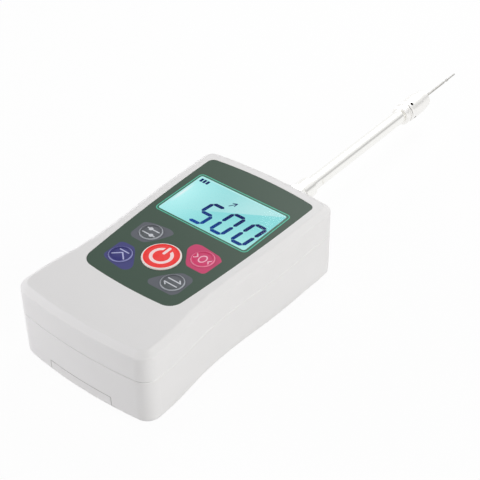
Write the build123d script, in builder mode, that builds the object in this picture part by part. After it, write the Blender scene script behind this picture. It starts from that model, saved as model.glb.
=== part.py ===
from build123d import *
import os
from math import sqrt

os.makedirs("parts", exist_ok=True)

# Handheld digital force gauge with a needle chuck on an extension rod.
# Frame: X across the case, +Y towards the needle, +Z out of the display.
# The origin is the middle of the flat back. All sizes are in millimetres.

# ---------------------------------------------------------------- driving sizes: case
case_length = 131.8
head_width = 73.4
waist_width = 69.3
butt_width = 74.9
case_height = 39.7
front_depth = 15.0            # depth of the front shell, from its face to the seam
head_straight = 32.0          # straight part of the sides behind the nose
butt_straight = 11.0          # straight part of the sides before the butt
waist_from_butt = 51.0
nose_bow = 2.6                # how far the nose is crowned in plan
butt_bow = 3.0
nose_corner = 5.6
butt_corner = 7.4
bevel_width = 3.25
bevel_drop = 2.5
bevel_soften = 0.4            # small chamfer on both edges of the bevel
back_round = 4.2
seam_groove = 0.3             # chamfer on both shells that draws the seam
side_wall = 2.2
top_wall = 2.4
floor_wall = 2.4
lip_height = 0.8
lip_gap = 0.05

# ---------------------------------------------------------------- driving sizes: face
display_from_nose = 37.8
panel_above_display = 30.9
panel_below_display = 64.1
panel_top_width = 60.4
panel_bottom_width = 51.4
panel_side_bow = 1.1
panel_top_bow = 2.2
panel_bottom_bow = 1.6
panel_top_corner = 3.2
panel_bottom_corner = 6.7
film_thickness = 0.5
film_recess = 0.6
film_gap = 0.1
window_width = 50.0
window_height = 30.5
window_shift = 0.25           # the film's window reaches further up than the display
window_corner = 1.2
lens_ledge = 1.1              # ledge of the case that the clear window lies on
lens_thickness = 0.4
lens_corner = 1.5
lens_gap = 0.2
pane_gap = 0.05               # raised pane of the clear window, in the film's opening
pane_set_back = 0.05

# ---------------------------------------------------------------- driving sizes: keys
power_below_display = 40.3
key_offset_x = 14.94
key_offset_y = 9.74
key_radius = 5.4
power_radius = 8.8
key_proud = 0.15
power_proud = 0.3
key_rim_width = 0.7
key_rim_height = 0.35
key_flange = 0.5              # width of the flange that holds a key under the film
key_flange_thickness = 0.6
key_gap = 0.25
key_stem_radius = 2.0
key_travel = 0.4
key_over_travel = 0.1         # air left over a switch when its key is pressed
switch_radius = 3.0
switch_height = 0.9
switch_slope = 0.6            # chamfer round the dome of a switch
key_edge_chamfer = 0.14

# ---------------------------------------------------------------- driving sizes: display and board
glass_width = 54.0
glass_height = 36.0
glass_thickness = 2.2
opening_gap = 0.3             # case opening round the glass
glass_shift = 1.5             # the glass reaches further up, over its contact strip
light_inset_x = 1.0           # backlight inside the glass, each side
light_inset_y = 0.8
light_thickness = 2.5
lamp_width = 1.0              # lamps at the left end of the backlight
lamp_length = 4.0
lamp_height = 1.5
strip_width = 1.6
strip_inset = 0.7             # edge of the glass to the contact strip
strip_end = 2.0
frame_wall = 1.5
stack_gap = 0.1
board_width = 60.0
board_thickness = 1.6
board_corner = 1.0
board_above_display = 22.4
board_below_display = 66.0
board_edge_gap = 1.2
board_screw_radius = 1.25
board_screw_length = 5.0
board_screw_head_radius = 2.2
board_screw_head = 1.4
board_boss_radius = 2.5
upper_boss_x = 25.5
upper_boss_below_display = 22.6
lower_boss_x = 22.0
lower_boss_below_display = 60.6
thread_gap = 0.05             # threads are plain cylinders with this clearance

# ---------------------------------------------------------------- driving sizes: force sensor
shaft_z = 15.8
cell_from_nose = 19.9
cell_width = 40.0
cell_length = 30.0
cell_thickness = 12.7
cell_arm = 8.0                # thickness of the front and rear arms
cell_slot = 2.0
cell_slot_end = 7.0           # metal left at the closed end of each slot
cell_bore_floor = 1.0         # metal left behind the stud's hole
cell_hole_radius = 4.0
cell_hole_spacing = 14.0
gauge_length = 5.0
gauge_width = 4.0
gauge_thickness = 0.15
shaft_travel = 0.3            # how far the sensor gives way at full load
shaft_collar_radius = 5.0
shaft_collar = 6.0
shaft_radius = 4.0
shaft_shoulder_proud = 12.1   # where the plain shaft ends, in front of the nose
stud_radius = 3.0
stud_proud = 26.6
nose_bore_radius = 6.5
bracket_width = 54.0
bracket_thickness = 3.0
bracket_upright = 4.0
bracket_depth = 25.5
bracket_post_height = 2.0
bracket_post_radius = 3.6
bracket_corner = 1.5
bracket_rear_margin = 3.5     # base behind the upright
bracket_screw_room = 0.2      # under the end of the screws in their blind holes
bracket_screw_x = 23.5
bracket_screw_spacing = 17.0
cell_screw_radius = 2.0
cell_screw_head_radius = 3.5
cell_screw_head = 4.0
cell_screw_length = 10.5
cell_screw_spacing = 14.0
small_screw_radius = 1.5
small_screw_head_radius = 2.75
small_screw_head = 1.8
screw_hole_gap = 0.2
lead_width = 5.0
lead_thickness = 0.6
lead_bend = 1.5
connector_width = 5.0
connector_height = 3.2
connector_margin = 0.75       # connector past the ribbon, each side
connector_from_cell = 1.0

# ---------------------------------------------------------------- driving sizes: rod and chuck
rod_gap = 0.1                 # jam nut to rod hub
nut_across_flats = 10.0
nut_thickness = 5.0
rod_start = 20.1              # rod hub's face, in front of the nose
rod_hub_radius = 5.1
rod_hub = 9.3
rod_hub_taper = 1.5
rod_flat_from_hub = 1.5
rod_radius = 3.6
rod_length = 87.7
rod_flat_width = 6.0
rod_flat_length = 4.5
rod_stud = 7.0
chuck_collar_radius = 5.15
chuck_collar = 4.9
chuck_groove_from_back = 2.8
chuck_groove = 0.6
chuck_groove_depth = 0.4
chuck_thread_radius = 4.0
chuck_thread = 11.4
chuck_web = 1.0
collet_radius = 2.6
collet_head_radius = 3.3
collet_head = 1.1             # straight part of the head, behind its cone
collet_ring = 2.5             # whole ring behind the slits
collet_play = 0.1
collet_proud = 0.3
collet_mouth_gap = 0.3
collet_cone_gap = 0.25
collet_slit = 0.4
chuck_nut_radius = 5.5
chuck_nut_nose_radius = 4.7
chuck_nut_length = 17.2
chuck_nut_taper = 6.5
chuck_nut_gap = 0.2
chuck_nut_mouth_radius = 2.0
tommy_hole_count = 4          # blind holes round the nut, for a tommy bar
tommy_hole_radius = 0.9
tommy_hole_depth = 1.0
tommy_hole_from_back = 2.1
tommy_hole_turn = 25.0        # degrees from straight up to the first hole
needle_radius = 0.6
needle_passage_gap = 0.2
needle_in_chuck = 12.0
needle_shank = 21.0           # shank that shows in front of the chuck
needle_neck_radius = 0.32
needle_neck = 1.6
needle_bead_radius = 0.7
needle_bead = 2.0
needle_tip_radius = 0.42
needle_tip = 7.4
needle_taper = 0.4
needle_point_radius = 0.15
running_gap = 0.05
turned_chamfer = 0.5          # on shoulders and ends of the turned pieces

# ---------------------------------------------------------------- driving sizes: batteries
battery_radius = 7.15
battery_length = 50.5
battery_nub_radius = 2.7
battery_nub = 1.0
battery_gap = 0.5
contact_room = 1.7
contact_thickness = 0.4
contact_width = 9.0
contact_margin = 1.0          # contact plate inside the battery's outline, and leaf inside the plate
bay_wall = 1.4
bay_from_butt = 3.9
cover_width = 35.0
cover_thickness = 1.9
cover_dovetail = 0.9          # how much wider the cover's inner face is, each side
cover_set_back = 0.1          # the cover lies this much above the flat back
cover_gap = 0.15
cover_overlap = 0.8           # cover past the front end of the bay
cover_tongue_height = 7.85
cover_tongue_thickness = 2.0
cover_ledge = 1.4
grip_from_round = 5.0         # first grip rib, from the end of the back's rounding
grip_rib_count = 5
grip_rib_pitch = 2.0
grip_rib_width = 1.0
grip_rib_depth = 0.5
grip_rib_length = 16.0

# ---------------------------------------------------------------- driving sizes: screws, inserts, sockets
post_inset_head = 7.7
post_inset_butt = 8.4
post_from_nose = 10.9
post_from_butt = 10.9
post_height = 15.0
post_wall = 1.2
pillar_radius = 3.4
case_screw_head_radius = 2.75
case_screw_head = 2.2
case_screw_length = 12.5
cross_length = 3.2            # cross recess of the case screws
cross_width = 0.6
cross_depth = 1.2
screw_head_chamfer = 0.4
end_room = 0.5                # air past the end of a screw in its pilot
screw_head_z = 12.5           # seat of the screw heads in their counterbores
counterbore_radius = 3.2
insert_radius = 2.8
insert_bore_radius = 1.65
insert_length = 7.0
insert_groove = 1.4           # groove round the middle of an insert
insert_groove_depth = 0.4
insert_spacing_x = 52.0
insert_spacing_y = 60.0
insert_from_nose = 20.9
insert_wall = 1.3
socket_depth = 12.0
socket_height = 5.2
data_jack_below_display = 29.0
data_jack_width = 6.4
data_jack_bore_radius = 1.8
data_jack_bore = 11.0
data_hole_radius = 2.5
charge_socket_below_display = 39.0
charge_socket_width = 9.0
charge_mouth_width = 7.0
charge_mouth_height = 3.2
charge_mouth_depth = 9.0
charge_mouth_corner = 0.4
charge_tongue_width = 5.0
charge_tongue = 0.6
charge_hole_gap = 0.8         # hole in the case round the mouth
socket_wall_gap = 0.3

# ---------------------------------------------------------------- places that follow from the sizes
nose_y = case_length / 2
butt_y = -case_length / 2
head_x = head_width / 2
waist_x = waist_width / 2
butt_x = butt_width / 2
waist_y = butt_y + waist_from_butt
seam_z = case_height - front_depth
ceiling_z = case_height - top_wall
film_floor_z = case_height - film_recess
film_top_z = film_floor_z + film_thickness
lens_floor_z = film_floor_z - lens_thickness
display_y = nose_y - display_from_nose
power_y = display_y - power_below_display
window_center = (0, display_y + window_shift)
glass_y = display_y + glass_shift
glass_center = (0, glass_y)
glass_top_z = lens_floor_z - stack_gap
opening_width = glass_width + 2 * opening_gap
opening_height = glass_height + 2 * opening_gap
lens_width = opening_width + 2 * lens_ledge
lens_height = opening_height + 2 * lens_ledge
rear_height = glass_height - strip_width - 2 * strip_inset
rear_y = glass_y - (glass_height - rear_height) / 2
light_top_z = glass_top_z - glass_thickness - stack_gap
board_top_z = light_top_z - light_thickness - stack_gap
board_bottom_z = board_top_z - board_thickness
shaft_axis = Axis((0, 0, shaft_z), (0, 1, 0))
shaft_plane = Plane(origin=(0, 0, shaft_z), x_dir=(0, 1, 0), z_dir=(1, 0, 0))
cell_front_y = nose_y - cell_from_nose
cell_back_y = cell_front_y - cell_length
bay_width = 4 * battery_radius + 3 * battery_gap
bay_back_y = butt_y + bay_from_butt
bay_front_y = bay_back_y + battery_length + 2 * contact_room
battery_z = cover_set_back + cover_thickness + battery_gap + battery_radius
bay_top_z = battery_z + battery_radius + battery_gap
cover_front_y = bay_front_y + cover_overlap
cover_top_z = cover_set_back + cover_thickness
hub_y = nose_y + rod_start
rod_end_y = hub_y + rod_length
nut_front_y = hub_y - rod_gap
chuck_front_y = rod_end_y + chuck_collar + chuck_thread
chuck_nut_y = rod_end_y + chuck_collar + chuck_nut_gap
chuck_nose_y = chuck_nut_y + chuck_nut_length
case_posts = [
    (side * (width / 2 - inset), y)
    for side in (-1, 1)
    for width, inset, y in (
        (head_width, post_inset_head, nose_y - post_from_nose),
        (butt_width, post_inset_butt, butt_y + post_from_butt),
    )
]
board_bosses = [
    (side * x, display_y - below)
    for side in (-1, 1)
    for x, below in (
        (upper_boss_x, upper_boss_below_display),
        (lower_boss_x, lower_boss_below_display),
    )
]
bracket_back_y = cell_back_y - bracket_upright
bracket_y = bracket_back_y - bracket_rear_margin + bracket_depth / 2
bracket_posts = [
    (side * bracket_screw_x, bracket_y + step * bracket_screw_spacing / 2)
    for side in (-1, 1)
    for step in (-1, 1)
]
insert_y = nose_y - insert_from_nose - insert_spacing_y / 2
key_places = {
    "power": (0, power_y, power_radius, power_proud),
    "set": (-key_offset_x, power_y + key_offset_y, key_radius, key_proud),
    "zero": (key_offset_x, power_y + key_offset_y, key_radius, key_proud),
    "peak": (-key_offset_x, power_y - key_offset_y, key_radius, key_proud),
    "unit": (key_offset_x, power_y - key_offset_y, key_radius, key_proud),
}
key_floor_z = film_floor_z - key_flange_thickness - key_travel - key_over_travel
socket_face_x = -(waist_x - side_wall - socket_wall_gap)
socket_z = board_bottom_z - socket_height / 2
data_jack_y = display_y - data_jack_below_display
charge_socket_y = display_y - charge_socket_below_display


# ---------------------------------------------------------------- shared sketches
def case_sketch(height, inset=0.0):
    """Plan of the case at a height, moved in by a wall or a gap."""
    with BuildSketch(Plane.XY.offset(height)) as plan:
        with BuildLine():
            nose = TangentArc((0, nose_y), (head_x, nose_y - nose_bow), tangent=(1, 0))
            head = Line(nose @ 1, (head_x, nose_y - head_straight))
            waist = Vector(waist_x, waist_y)
            upper = TangentArc(head @ 1, (head @ 1 + waist) / 2, tangent=(0, -1))
            lower = TangentArc(upper @ 1, waist, tangent=upper % 1)
            flare_end = Vector(butt_x, butt_y + butt_straight)
            flare = TangentArc(lower @ 1, (waist + flare_end) / 2, tangent=(0, -1))
            flare_out = TangentArc(flare @ 1, flare_end, tangent=flare % 1)
            side = Line(flare_out @ 1, (butt_x, butt_y + butt_bow))
            TangentArc((0, butt_y), side @ 1, tangent=(1, 0))
            mirror(about=Plane.YZ)
        make_face()
        if inset > 0:
            offset(amount=-inset, kind=Kind.INTERSECTION, mode=Mode.REPLACE)
        fillet(plan.vertices().group_by(Axis.Y)[-1], radius=nose_corner - inset)
        fillet(plan.vertices().group_by(Axis.Y)[0], radius=butt_corner - inset)
    return plan.sketch


def panel_sketch(height, gap=0.0):
    """Plan of the face film at a height, or of its recess if a gap is given."""
    top_y = display_y + panel_above_display
    bottom_y = display_y - panel_below_display
    top_x = panel_top_width / 2
    bottom_x = panel_bottom_width / 2
    with BuildSketch(Plane.XY.offset(height)) as plan:
        with BuildLine():
            top = TangentArc((0, top_y), (top_x, top_y - panel_top_bow), tangent=(1, 0))
            bottom_end = Vector(bottom_x, bottom_y + panel_bottom_bow)
            middle = (top @ 1 + bottom_end) / 2 + Vector(panel_side_bow, 0)
            ThreePointArc(top @ 1, middle, bottom_end)
            TangentArc((0, bottom_y), bottom_end, tangent=(1, 0))
            mirror(about=Plane.YZ)
        make_face()
        if gap > 0:
            offset(amount=gap, kind=Kind.INTERSECTION, mode=Mode.REPLACE)
        fillet(plan.vertices().group_by(Axis.Y)[-1], radius=panel_top_corner + gap)
        fillet(plan.vertices().group_by(Axis.Y)[0], radius=panel_bottom_corner + gap)
    return plan.sketch


def block_sketch(height, center, width, length, corner=0.0):
    """Rectangle in plan, with rounded corners if a radius is given."""
    with BuildSketch(Plane.XY.offset(height)) as plan:
        with Locations(center):
            if corner > 0:
                RectangleRounded(width, length, corner)
            else:
                Rectangle(width, length)
    return plan.sketch


def discs_sketch(height, centers, radius):
    """Equal circles in plan."""
    with BuildSketch(Plane.XY.offset(height)) as plan:
        with Locations(*centers):
            Circle(radius)
    return plan.sketch


def turned_sketch(points):
    """Half profile of a turned piece: (distance along Y, radius) from end to end."""
    with BuildSketch(shaft_plane) as half:
        with BuildLine():
            Polyline(*points, close=True)
        make_face()
    return half.sketch


def shaft_disc(y, radius):
    """Circle square to the shaft at a distance along Y, facing +Y."""
    with BuildSketch(Plane(origin=(0, y, shaft_z), x_dir=(1, 0, 0), z_dir=(0, 1, 0))) as disc:
        Circle(radius)
    return disc.sketch


def cover_sketch(y, gap=0.0):
    """Dovetail section of the battery cover, or of its track if a gap is given."""
    low_z = cover_set_back - (seam_groove + 1.0 if gap > 0 else 0.0)
    high_z = cover_top_z + gap
    slope = cover_dovetail / cover_thickness
    low_x = cover_width / 2 + gap + slope * (low_z - cover_set_back)
    high_x = cover_width / 2 + gap + slope * (high_z - cover_set_back)
    with BuildSketch(Plane(origin=(0, y, 0), x_dir=(1, 0, 0), z_dir=(0, -1, 0))) as section:
        with BuildLine():
            Polyline((-low_x, low_z), (low_x, low_z), (high_x, high_z), (-high_x, high_z), close=True)
        make_face()
    return section.sketch


# ---------------------------------------------------------------- case
with BuildPart() as case_back_body:
    extrude(case_sketch(0), amount=seam_z)
    fillet(case_back_body.edges().group_by(Axis.Z)[0], radius=back_round)

with BuildPart() as front_shell:
    extrude(case_sketch(seam_z), amount=front_depth)
    face = front_shell.faces().sort_by(Axis.Z)[-1]
    chamfer(face.edges(), length=bevel_width, length2=bevel_drop, reference=face)
    levels = front_shell.edges().group_by(Axis.Z)
    chamfer(levels[-1] + levels[-3], length=bevel_soften)
    chamfer(front_shell.edges().group_by(Axis.Z)[0], length=seam_groove)
    extrude(case_sketch(seam_z, side_wall), amount=ceiling_z - seam_z, mode=Mode.SUBTRACT)
    rebate = side_wall / 2 - lip_gap
    extrude(case_sketch(seam_z, rebate), amount=lip_height + 2 * lip_gap, mode=Mode.SUBTRACT)
    # recesses for the film and the window
    extrude(panel_sketch(film_floor_z, film_gap), amount=film_recess, mode=Mode.SUBTRACT)
    lens_seat = block_sketch(
        lens_floor_z, glass_center, lens_width + 2 * lens_gap, lens_height + 2 * lens_gap, lens_corner
    )
    extrude(lens_seat, amount=lens_thickness, mode=Mode.SUBTRACT)
    opening = block_sketch(ceiling_z, glass_center, opening_width, opening_height)
    extrude(opening, amount=top_wall, mode=Mode.SUBTRACT)
    # pockets for the keys' flanges, and holes for their stems
    for x, y, radius, proud in key_places.values():
        pocket = discs_sketch(key_floor_z, [(x, y)], radius + key_flange + key_gap)
        extrude(pocket, amount=film_floor_z - key_floor_z, mode=Mode.SUBTRACT)
        stem_hole = discs_sketch(ceiling_z, [(x, y)], key_stem_radius + key_gap)
        extrude(stem_hole, amount=top_wall, mode=Mode.SUBTRACT)
    # pillars for the case screws and bosses for the board
    extrude(discs_sketch(post_height, case_posts, pillar_radius), amount=ceiling_z - post_height)
    pilot_depth = case_screw_length - (post_height - screw_head_z) + end_room
    pilots = discs_sketch(post_height, case_posts, small_screw_radius + thread_gap)
    extrude(pilots, amount=pilot_depth, mode=Mode.SUBTRACT)
    bosses = discs_sketch(board_top_z, board_bosses, board_boss_radius)
    extrude(bosses, amount=ceiling_z - board_top_z)
    pilots = discs_sketch(board_top_z, board_bosses, board_screw_radius + thread_gap)
    extrude(pilots, amount=board_screw_length - board_thickness + end_room, mode=Mode.SUBTRACT)
    # holes in the left side for the sockets
    socket_side = Plane(origin=(socket_face_x, 0, socket_z), x_dir=(0, 1, 0), z_dir=(-1, 0, 0))
    with BuildSketch(socket_side) as socket_holes:
        with Locations((data_jack_y, 0)):
            Circle(data_hole_radius)
        with Locations((charge_socket_y, 0)):
            charge_hole_width = charge_mouth_width + 2 * charge_hole_gap
            charge_hole_height = charge_mouth_height + 2 * charge_hole_gap
            RectangleRounded(charge_hole_width, charge_hole_height, charge_hole_gap)
    extrude(amount=head_x, mode=Mode.SUBTRACT)
front_shell.part.label = "front_shell"
export_step(front_shell.part, "parts/front_shell.step")

with BuildPart() as rear_ribs:
    # posts for the case screws, the bracket and the inserts
    post_root = floor_wall / 2
    posts = discs_sketch(post_root, case_posts, counterbore_radius + post_wall)
    extrude(posts, amount=post_height - post_root)
    posts = discs_sketch(post_root, bracket_posts, bracket_post_radius)
    extrude(posts, amount=floor_wall + bracket_post_height - post_root)
    with BuildSketch(Plane.XY.offset(post_root)):
        with Locations((0, insert_y)):
            with GridLocations(insert_spacing_x, insert_spacing_y, 2, 2):
                Circle(insert_radius + insert_wall)
    extrude(amount=insert_length + insert_wall - post_root)
    # battery bay with the ledges that carry its cover
    bay_root_y = butt_y + side_wall / 2
    bay_end_y = bay_front_y + bay_wall
    bay_box = block_sketch(
        post_root, (0, (bay_root_y + bay_end_y) / 2), bay_width + 2 * bay_wall, bay_end_y - bay_root_y
    )
    extrude(bay_box, amount=bay_top_z + bay_wall - post_root)
    ledge_end_y = cover_front_y + 2 * cover_gap + bay_wall
    ledge_width = cover_width + 2 * (cover_dovetail + cover_gap + bay_wall)
    ledge = block_sketch(
        post_root, (0, (bay_root_y + ledge_end_y) / 2), ledge_width, ledge_end_y - bay_root_y
    )
    extrude(ledge, amount=cover_top_z + cover_gap + cover_ledge - post_root)
    add(case_back_body.part, mode=Mode.INTERSECT)

with BuildPart() as rear_shell:
    add(case_back_body.part)
    chamfer(rear_shell.edges().group_by(Axis.Z)[-1], length=seam_groove)
    extrude(case_sketch(seam_z, side_wall / 2 + lip_gap), amount=lip_height)
    cavity_depth = seam_z + lip_height - floor_wall
    extrude(case_sketch(floor_wall, side_wall), amount=cavity_depth, mode=Mode.SUBTRACT)
    add(rear_ribs.part)
    # battery bay, and the track of its cover
    bay = block_sketch(0, (0, (bay_back_y + bay_front_y) / 2), bay_width, bay_front_y - bay_back_y)
    extrude(bay, amount=bay_top_z, mode=Mode.SUBTRACT)
    track = cover_sketch(cover_front_y + cover_gap, cover_gap)
    extrude(track, amount=case_length, mode=Mode.SUBTRACT)
    notch_depth = cover_tongue_thickness + cover_gap
    notch = block_sketch(0, (0, butt_y), cover_width + 2 * cover_gap, 2 * notch_depth)
    extrude(notch, amount=cover_tongue_height + cover_gap, mode=Mode.SUBTRACT)
    # bores: shaft, case screws, bracket screws, inserts, sockets
    bore_y = nose_y - nose_bow - side_wall
    extrude(shaft_disc(bore_y, nose_bore_radius), amount=nose_y - bore_y, mode=Mode.SUBTRACT)
    counterbores = discs_sketch(0, case_posts, counterbore_radius)
    extrude(counterbores, amount=screw_head_z, mode=Mode.SUBTRACT)
    holes = discs_sketch(screw_head_z, case_posts, small_screw_radius + screw_hole_gap)
    extrude(holes, amount=post_height - screw_head_z, mode=Mode.SUBTRACT)
    holes = discs_sketch(post_root, bracket_posts, small_screw_radius + thread_gap)
    extrude(holes, amount=floor_wall + bracket_post_height - post_root, mode=Mode.SUBTRACT)
    with BuildSketch(Plane.XY):
        with Locations((0, insert_y)):
            with GridLocations(insert_spacing_x, insert_spacing_y, 2, 2):
                Circle(insert_radius + thread_gap)
    extrude(amount=insert_length + thread_gap, mode=Mode.SUBTRACT)
    extrude(socket_holes.sketch, amount=head_x, mode=Mode.SUBTRACT)
rear_shell.part.label = "rear_shell"
export_step(rear_shell.part, "parts/rear_shell.step")

with BuildPart() as battery_cover:
    extrude(cover_sketch(cover_front_y), amount=cover_front_y - butt_y)
    tongue = block_sketch(cover_set_back, (0, butt_y), cover_width, 2 * cover_tongue_thickness)
    extrude(tongue, amount=cover_tongue_height - cover_set_back)
    add(case_back_body.part, mode=Mode.INTERSECT)
    rib_y = butt_y + back_round + grip_from_round + grip_rib_pitch * (grip_rib_count - 1) / 2
    with BuildSketch(Plane.XY.offset(cover_set_back)):
        with Locations((0, rib_y)):
            with GridLocations(0, grip_rib_pitch, 1, grip_rib_count):
                SlotOverall(grip_rib_length, grip_rib_width)
    extrude(amount=grip_rib_depth, mode=Mode.SUBTRACT)
battery_cover.part.label = "battery_cover"
export_step(battery_cover.part, "parts/battery_cover.step")

with BuildPart() as case_screws:
    heads = discs_sketch(screw_head_z - case_screw_head, case_posts, case_screw_head_radius)
    extrude(heads, amount=case_screw_head)
    chamfer(case_screws.edges().group_by(Axis.Z)[0], length=screw_head_chamfer)
    shanks = discs_sketch(screw_head_z, case_posts, small_screw_radius)
    extrude(shanks, amount=case_screw_length)
    with BuildSketch(Plane.XY.offset(screw_head_z - case_screw_head)):
        with Locations(*case_posts):
            Rectangle(cross_length, cross_width)
            Rectangle(cross_width, cross_length)
    extrude(amount=cross_depth, mode=Mode.SUBTRACT)
case_screws.part.label = "case_screws"
export_step(case_screws.part, "parts/case_screws.step")

with BuildPart() as stand_inserts:
    with BuildSketch(Plane.XY):
        with Locations((0, insert_y)):
            with GridLocations(insert_spacing_x, insert_spacing_y, 2, 2):
                Circle(insert_radius)
                Circle(insert_bore_radius, mode=Mode.SUBTRACT)
    extrude(amount=insert_length)
    with BuildSketch(Plane.XY.offset((insert_length - insert_groove) / 2)):
        with Locations((0, insert_y)):
            with GridLocations(insert_spacing_x, insert_spacing_y, 2, 2):
                Circle(insert_radius)
                Circle(insert_radius - insert_groove_depth, mode=Mode.SUBTRACT)
    extrude(amount=insert_groove, mode=Mode.SUBTRACT)
stand_inserts.part.label = "stand_inserts"
export_step(stand_inserts.part, "parts/stand_inserts.step")

# ---------------------------------------------------------------- face
with BuildPart() as overlay_panel:
    extrude(panel_sketch(film_floor_z), amount=film_thickness)
    pane_hole = block_sketch(film_floor_z, window_center, window_width, window_height, window_corner)
    extrude(pane_hole, amount=film_thickness, mode=Mode.SUBTRACT)
    for x, y, radius, proud in key_places.values():
        hole = discs_sketch(film_floor_z, [(x, y)], radius + film_gap)
        extrude(hole, amount=film_thickness, mode=Mode.SUBTRACT)
overlay_panel.part.label = "overlay_panel"
export_step(overlay_panel.part, "parts/overlay_panel.step")

with BuildPart() as display_window:
    lens = block_sketch(lens_floor_z, glass_center, lens_width, lens_height, lens_corner)
    extrude(lens, amount=lens_thickness)
    pane_width = window_width - 2 * pane_gap
    pane_height = window_height - 2 * pane_gap
    pane = block_sketch(film_floor_z, window_center, pane_width, pane_height, window_corner - pane_gap)
    extrude(pane, amount=film_thickness - pane_set_back)
display_window.part.label = "display_window"
export_step(display_window.part, "parts/display_window.step")

stem_end_z = board_top_z + switch_height + key_travel + key_over_travel
for key_name, (x, y, radius, proud) in key_places.items():
    with BuildPart() as key:
        cap_z = film_top_z + proud
        extrude(discs_sketch(film_floor_z, [(x, y)], radius), amount=cap_z - film_floor_z)
        rim = discs_sketch(cap_z, [(x, y)], radius - key_rim_height)
        extrude(rim, amount=key_rim_height)
        dish = discs_sketch(cap_z, [(x, y)], radius - key_rim_height - key_rim_width)
        extrude(dish, amount=key_rim_height, mode=Mode.SUBTRACT)
        chamfer(key.edges().group_by(Axis.Z)[-1], length=key_edge_chamfer)
        flange_z = film_floor_z - key_flange_thickness
        extrude(discs_sketch(flange_z, [(x, y)], radius + key_flange), amount=key_flange_thickness)
        extrude(discs_sketch(stem_end_z, [(x, y)], key_stem_radius), amount=flange_z - stem_end_z)
    key.part.label = f"key_{key_name}"
    export_step(key.part, f"parts/key_{key_name}.step")

# ---------------------------------------------------------------- display and board
with BuildPart() as lcd_glass:
    front_z = glass_top_z - glass_thickness / 2
    front = block_sketch(front_z, glass_center, glass_width, glass_height)
    extrude(front, amount=glass_thickness / 2)
    rear = block_sketch(front_z - glass_thickness / 2, (0, rear_y), glass_width, rear_height)
    extrude(rear, amount=glass_thickness / 2)
lcd_glass.part.label = "lcd_glass"
export_step(lcd_glass.part, "parts/lcd_glass.step")

with BuildPart() as backlight:
    light_width = glass_width - 2 * light_inset_x
    light_height = rear_height - 2 * light_inset_y
    light_z = board_top_z + stack_gap
    extrude(block_sketch(light_z, (0, rear_y), light_width, light_height), amount=light_thickness)
    lamps = block_sketch(light_z, (-light_width / 2, rear_y), 2 * lamp_width, lamp_length)
    extrude(lamps, amount=lamp_height)
backlight.part.label = "backlight"
export_step(backlight.part, "parts/backlight.step")

with BuildPart() as zebra_strip:
    strip_y = glass_y + glass_height / 2 - strip_inset - strip_width / 2
    strip = block_sketch(board_top_z, (0, strip_y), glass_width - 2 * strip_end, strip_width)
    extrude(strip, amount=front_z - board_top_z)
zebra_strip.part.label = "zebra_strip"
export_step(zebra_strip.part, "parts/zebra_strip.step")

with BuildPart() as lcd_frame:
    inner_width = glass_width + 4 * stack_gap
    inner_height = glass_height + 4 * stack_gap
    outer_width = inner_width + 2 * frame_wall
    outer_height = inner_height + 2 * frame_wall
    frame_height = ceiling_z - stack_gap - board_top_z
    outer = block_sketch(board_top_z, glass_center, outer_width, outer_height, frame_wall)
    extrude(outer, amount=frame_height)
    inner = block_sketch(board_top_z, glass_center, inner_width, inner_height)
    extrude(inner, amount=frame_height, mode=Mode.SUBTRACT)
lcd_frame.part.label = "lcd_frame"
export_step(lcd_frame.part, "parts/lcd_frame.step")

with BuildPart() as main_board:
    board_y = display_y + (board_above_display - board_below_display) / 2
    board_length = board_above_display + board_below_display
    board = block_sketch(board_bottom_z, (0, board_y), board_width, board_length, board_corner)
    extrude(board, amount=board_thickness)
    limit = case_sketch(board_bottom_z, side_wall + board_edge_gap)
    extrude(limit, amount=board_thickness, mode=Mode.INTERSECT)
    holes = discs_sketch(board_bottom_z, board_bosses, board_screw_radius + screw_hole_gap)
    extrude(holes, amount=board_thickness, mode=Mode.SUBTRACT)
main_board.part.label = "main_board"
export_step(main_board.part, "parts/main_board.step")

with BuildPart() as board_screws:
    heads = discs_sketch(board_bottom_z - board_screw_head, board_bosses, board_screw_head_radius)
    extrude(heads, amount=board_screw_head)
    shanks = discs_sketch(board_bottom_z, board_bosses, board_screw_radius)
    extrude(shanks, amount=board_screw_length)
board_screws.part.label = "board_screws"
export_step(board_screws.part, "parts/board_screws.step")

with BuildPart() as key_switches:
    centers = [(x, y) for x, y, radius, proud in key_places.values()]
    extrude(discs_sketch(board_top_z, centers, switch_radius), amount=switch_height)
    chamfer(key_switches.edges().group_by(Axis.Z)[-1], length=switch_slope)
key_switches.part.label = "key_switches"
export_step(key_switches.part, "parts/key_switches.step")

chips = [                     # place from the display's centre, width, length, height
    (8.0, -38.0, 12.0, 12.0, 1.4),
    (-8.0, -2.0, 5.0, 6.2, 1.2),
    (16.0, -56.0, 6.5, 6.0, 2.2),
    (-9.0, -52.0, 11.0, 4.5, 2.4),
]
with BuildPart() as board_chips:
    for x, y, width, length, height in chips:
        chip = block_sketch(board_bottom_z - height, (x, display_y + y), width, length)
        extrude(chip, amount=height)
board_chips.part.label = "board_chips"
export_step(board_chips.part, "parts/board_chips.step")

with BuildPart() as data_jack:
    jack_face = Plane(origin=(socket_face_x, data_jack_y, socket_z), x_dir=(0, 1, 0), z_dir=(1, 0, 0))
    with BuildSketch(jack_face):
        Rectangle(data_jack_width, socket_height)
    extrude(amount=socket_depth)
    with BuildSketch(jack_face):
        Circle(data_jack_bore_radius)
    extrude(amount=data_jack_bore, mode=Mode.SUBTRACT)
data_jack.part.label = "data_jack"
export_step(data_jack.part, "parts/data_jack.step")

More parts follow.
